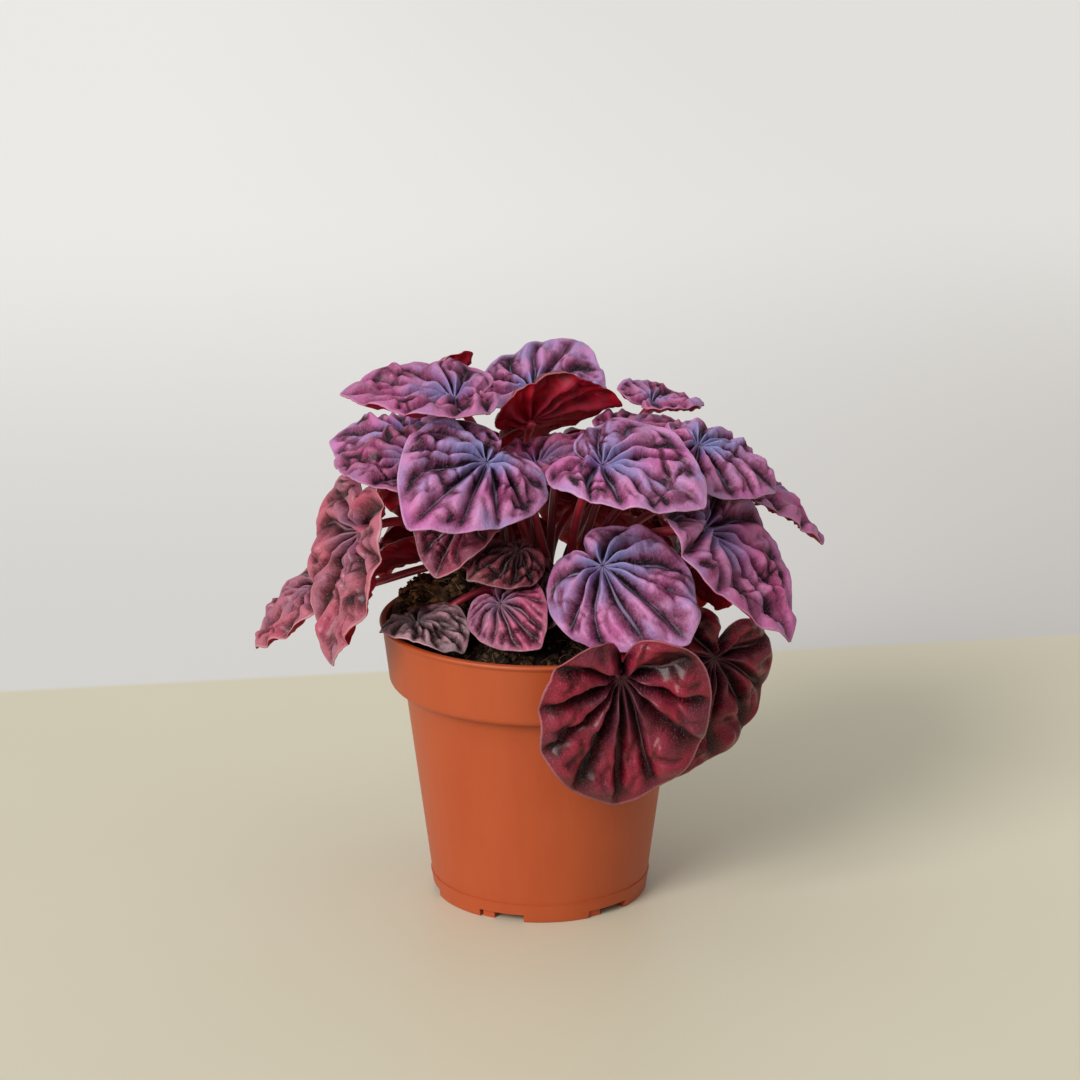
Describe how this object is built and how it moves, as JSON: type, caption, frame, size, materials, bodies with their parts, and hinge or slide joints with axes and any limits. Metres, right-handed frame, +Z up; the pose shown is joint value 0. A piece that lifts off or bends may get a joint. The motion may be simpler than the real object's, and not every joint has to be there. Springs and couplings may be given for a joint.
{
  "type": "potted ripple peperomia",
  "caption": "Bushy houseplant with deeply quilted, heart-shaped dark red leaves on bare leaf stalks, in a round tapered plastic nursery pot of soil.",
  "frame": {"origin": "on the ground under the middle of the pot", "axes": "+Z up, +Y away from the viewer of the picture, +X to the viewer's right"},
  "size_m": [0.1928, 0.1468, 0.1816],
  "materials": {
    "pot": "satin moulded orange-brown polypropylene",
    "soil": "loose dark peat and bark",
    "crown": "fleshy dark red stem",
    "leaf_lilac": "waxy quilted leaf, lilac pink with grey-blue hub and near-black valleys",
    "leaf_magenta": "waxy quilted leaf, magenta with dark valleys",
    "leaf_rose": "waxy quilted leaf, rose brown with dark red valleys",
    "leaf_burgundy": "glossy quilted leaf, burgundy",
    "leaf_shade": "quilted leaf, dark grey-brown red"
  },
  "bodies": {
    "root": {"pot": "pot", "soil": "soil", "crown": "crown", "leaf_top_left": "leaf_magenta", "leaf_top_middle": "leaf_lilac", "leaf_top_rear": "leaf_rose", "leaf_top_turned": "leaf_burgundy", "leaf_top_right": "leaf_magenta", "leaf_upper_right": "leaf_magenta", "leaf_left_shoulder": "leaf_lilac", "leaf_left_folded": "leaf_magenta", "leaf_front_left": "leaf_lilac", "leaf_front_middle": "leaf_magenta", "leaf_front_right": "leaf_lilac", "leaf_right_shoulder": "leaf_lilac", "leaf_far_right": "leaf_magenta", "leaf_hanging_right": "leaf_magenta", "leaf_hanging_left": "leaf_rose", "leaf_far_left": "leaf_rose", "leaf_inner_left": "leaf_rose", "leaf_low_dark": "leaf_shade", "leaf_low_small": "leaf_shade", "leaf_big_front": "leaf_lilac", "leaf_under_right": "leaf_shade", "leaf_low_left": "leaf_rose", "leaf_pot_middle": "leaf_magenta", "leaf_pot_left": "leaf_shade", "leaf_over_rim": "leaf_burgundy", "leaf_over_rim_right": "leaf_burgundy", "leaf_back_top": "leaf_lilac", "leaf_back_right": "leaf_magenta", "leaf_back_left": "leaf_magenta", "leaf_back_low_right": "leaf_rose", "leaf_back_low": "leaf_burgundy", "leaf_back_side_right": "leaf_rose", "leaf_back_side_left": "leaf_rose"}
  },
  "joints": []
}
